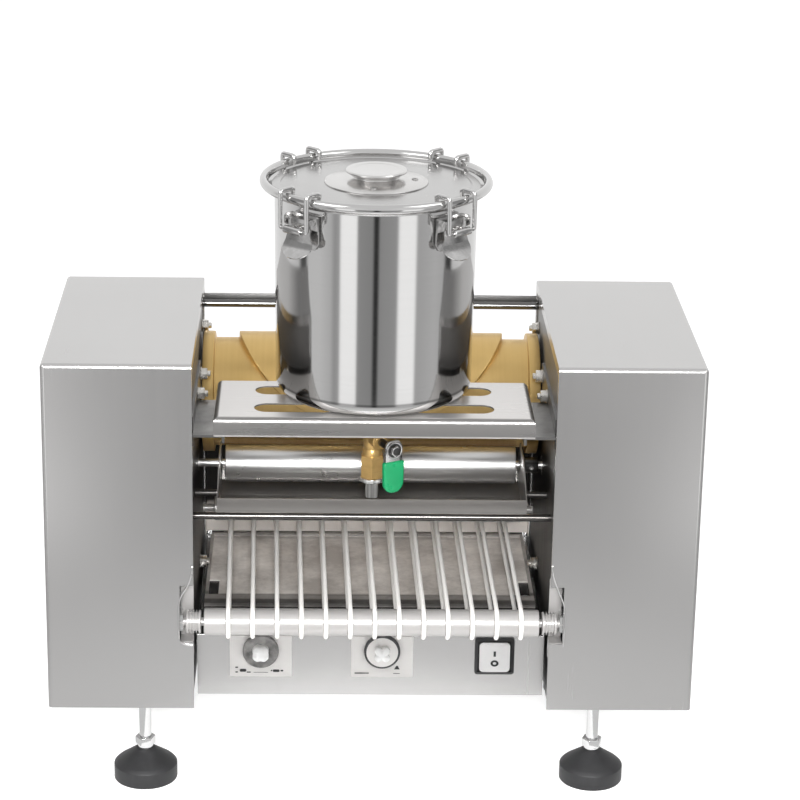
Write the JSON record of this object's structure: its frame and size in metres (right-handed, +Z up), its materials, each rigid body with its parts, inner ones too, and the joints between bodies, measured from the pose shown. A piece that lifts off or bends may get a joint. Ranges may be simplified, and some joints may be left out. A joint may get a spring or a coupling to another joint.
{
  "type": "electric crepe maker",
  "caption": "Automatic crepe maker: heated drum with raised round pad, batter trough and roller, clamped bucket with ball valve, string conveyor, control box, levelling feet.",
  "frame": {"origin": "on the ground, midway between the feet, below the middle of the bounding box", "axes": "+Z up, +X to the right of someone standing at the controls, +Y away from them"},
  "size_m": [0.62, 0.321, 0.6059],
  "materials": {
    "stainless": "satin brushed",
    "polished": "mirror polished",
    "plate": "brushed",
    "gold": "satin golden coating",
    "brass": "machined",
    "steel": "zinc plated",
    "black_rubber": "matt",
    "green_vinyl": "gloss dipped",
    "string": "satin",
    "black_plastic": "matt",
    "grey_plastic": "satin",
    "dial": "gloss",
    "white_label": "satin",
    "motor": "satin",
    "gear_steel": "oiled",
    "aluminium": "machined"
  },
  "bodies": {
    "machine_frame": {"housing_cover_left": "stainless", "housing_cover_right": "stainless", "inner_plate_left": "plate", "inner_plate_right": "plate", "housing_floors": "stainless", "control_box_shell": "stainless", "control_box_floor": "stainless", "label_plates": "white_label", "switch_frame": "black_plastic", "thermostat": "black_plastic", "speed_control": "black_plastic", "cable_gland": "black_plastic", "control_box_studs": "steel", "guard_rod": "polished", "rear_tie_rod": "polished", "rear_tie_strip": "stainless", "side_bolts": "steel", "bucket_shelf": "stainless", "shelf_brackets": "plate", "batter_bucket": "polished", "bucket_lid": "polished", "lid_knob": "polished", "clamp_brackets": "polished", "valve_body": "brass", "outlet_nozzle": "polished", "batter_trough": "stainless", "drum_end_cups": "aluminium", "shaft_bearings": "gear_steel", "gear_motor": "motor", "string_drive_belt": "black_rubber", "string_roller_arms": "plate", "conveyor_strings": "string"},
    "drum": {"drum_shell": "gold", "drum_journals": "gear_steel", "drum_heaters": "steel", "drum_gear": "gear_steel"},
    "applicator": {"applicator_roller": "polished", "applicator_gear": "gear_steel", "applicator_pulley": "aluminium"},
    "pinion": {"motor_pinion": "gear_steel"},
    "rear_string_roller": {"string_roller_rear": "polished", "string_roller_pulley": "aluminium"},
    "front_string_roller": {"string_roller_front": "polished"},
    "valve_lever": {"valve_stem": "steel", "valve_handle": "steel", "handle_sleeve": "green_vinyl"},
    "left_dial": {"dial_left": "dial"},
    "right_dial": {"dial_right": "dial"},
    "rocker": {"switch_rocker": "grey_plastic"},
    "feet": {"foot_stems": "steel", "foot_pads": "black_rubber"},
    "pan": {"drip_pan": "stainless"},
    "lever_1": {"clamp_lever_1": "polished"},
    "bail_1": {"clamp_bail_1": "polished"},
    "lever_2": {"clamp_lever_2": "polished"},
    "bail_2": {"clamp_bail_2": "polished"},
    "lever_3": {"clamp_lever_3": "polished"},
    "bail_3": {"clamp_bail_3": "polished"},
    "lever_4": {"clamp_lever_4": "polished"},
    "bail_4": {"clamp_bail_4": "polished"}
  },
  "joints": [
    {"name": "drum_spin", "type": "hinge", "parent": "machine_frame", "child": "drum", "pos_m": [0, 0.082, 0.339], "axis": [1, 0, 0], "continuous": true},
    {"name": "applicator_spin", "type": "hinge", "parent": "machine_frame", "child": "applicator", "pos_m": [0, 0.02543, 0.28243], "axis": [1, 0, 0], "continuous": true},
    {"name": "pinion_spin", "type": "hinge", "parent": "machine_frame", "child": "pinion", "pos_m": [0.2, 0.082, 0.26782], "axis": [1, 0, 0], "continuous": true},
    {"name": "rear_string_spin", "type": "hinge", "parent": "machine_frame", "child": "rear_string_roller", "pos_m": [0, 0.12, 0.197], "axis": [1, 0, 0], "continuous": true},
    {"name": "front_string_spin", "type": "hinge", "parent": "machine_frame", "child": "front_string_roller", "pos_m": [0, -0.137, 0.181], "axis": [1, 0, 0], "continuous": true},
    {"name": "valve_turn", "type": "hinge", "parent": "machine_frame", "child": "valve_lever", "pos_m": [0, -0.051, 0.339], "axis": [0.4695, -0.8829, 0], "range_deg": [0, 90]},
    {"name": "left_dial_turn", "type": "hinge", "parent": "machine_frame", "child": "left_dial", "pos_m": [-0.1065, -0.124, 0.1423], "axis": [0, -1, 0], "range_deg": [0, 270]},
    {"name": "right_dial_turn", "type": "hinge", "parent": "machine_frame", "child": "right_dial", "pos_m": [0.011, -0.124, 0.1423], "axis": [0, -1, 0], "range_deg": [0, 270]},
    {"name": "rocker_tilt", "type": "hinge", "parent": "machine_frame", "child": "rocker", "pos_m": [0.1202, -0.1165, 0.1374], "axis": [1, 0, 0], "range_deg": [0, 10]},
    {"name": "feet_height", "type": "slide", "parent": "machine_frame", "child": "feet", "axis": [0, 0, -1], "range_m": [-0.04, 0.02]},
    {"name": "pan_slide", "type": "slide", "parent": "machine_frame", "child": "pan", "axis": [0, 1, 0], "range_m": [0, 0.15]},
    {"name": "lever_1_turn", "type": "hinge", "parent": "machine_frame", "child": "lever_1", "pos_m": [-0.07093, -0.12706, 0.576], "axis": [-0.7314, 0.682, 0], "range_deg": [0, 88]},
    {"name": "bail_1_turn", "type": "hinge", "parent": "lever_1", "child": "bail_1", "pos_m": [-0.07693, -0.1335, 0.568], "axis": [-0.7314, 0.682, 0], "range_deg": [-85, 0]},
    {"name": "lever_2_turn", "type": "hinge", "parent": "machine_frame", "child": "lever_2", "pos_m": [0.07093, -0.12706, 0.576], "axis": [-0.7314, -0.682, 0], "range_deg": [0, 88]},
    {"name": "bail_2_turn", "type": "hinge", "parent": "lever_2", "child": "bail_2", "pos_m": [0.07693, -0.1335, 0.568], "axis": [-0.7314, -0.682, 0], "range_deg": [-85, 0]},
    {"name": "lever_3_turn", "type": "hinge", "parent": "machine_frame", "child": "lever_3", "pos_m": [-0.07093, 0.02506, 0.576], "axis": [0.7314, 0.682, 0], "range_deg": [0, 88]},
    {"name": "bail_3_turn", "type": "hinge", "parent": "lever_3", "child": "bail_3", "pos_m": [-0.07693, 0.0315, 0.568], "axis": [0.7314, 0.682, 0], "range_deg": [-85, 0]},
    {"name": "lever_4_turn", "type": "hinge", "parent": "machine_frame", "child": "lever_4", "pos_m": [0.07093, 0.02506, 0.576], "axis": [0.7314, -0.682, 0], "range_deg": [0, 88]},
    {"name": "bail_4_turn", "type": "hinge", "parent": "lever_4", "child": "bail_4", "pos_m": [0.07693, 0.0315, 0.568], "axis": [0.7314, -0.682, 0], "range_deg": [-85, 0]}
  ],
  "couplings": [
    {"joint": "applicator_spin", "follows": "drum_spin", "ratio": -2.3333},
    {"joint": "pinion_spin", "follows": "drum_spin", "ratio": -3.7333},
    {"joint": "rear_string_spin", "follows": "drum_spin", "ratio": -4.2424},
    {"joint": "front_string_spin", "follows": "drum_spin", "ratio": -4.2424},
    {"joint": "bail_1_turn", "follows": "lever_1_turn", "ratio": -0.95},
    {"joint": "bail_2_turn", "follows": "lever_2_turn", "ratio": -0.95},
    {"joint": "bail_3_turn", "follows": "lever_3_turn", "ratio": -0.95},
    {"joint": "bail_4_turn", "follows": "lever_4_turn", "ratio": -0.95}
  ]
}
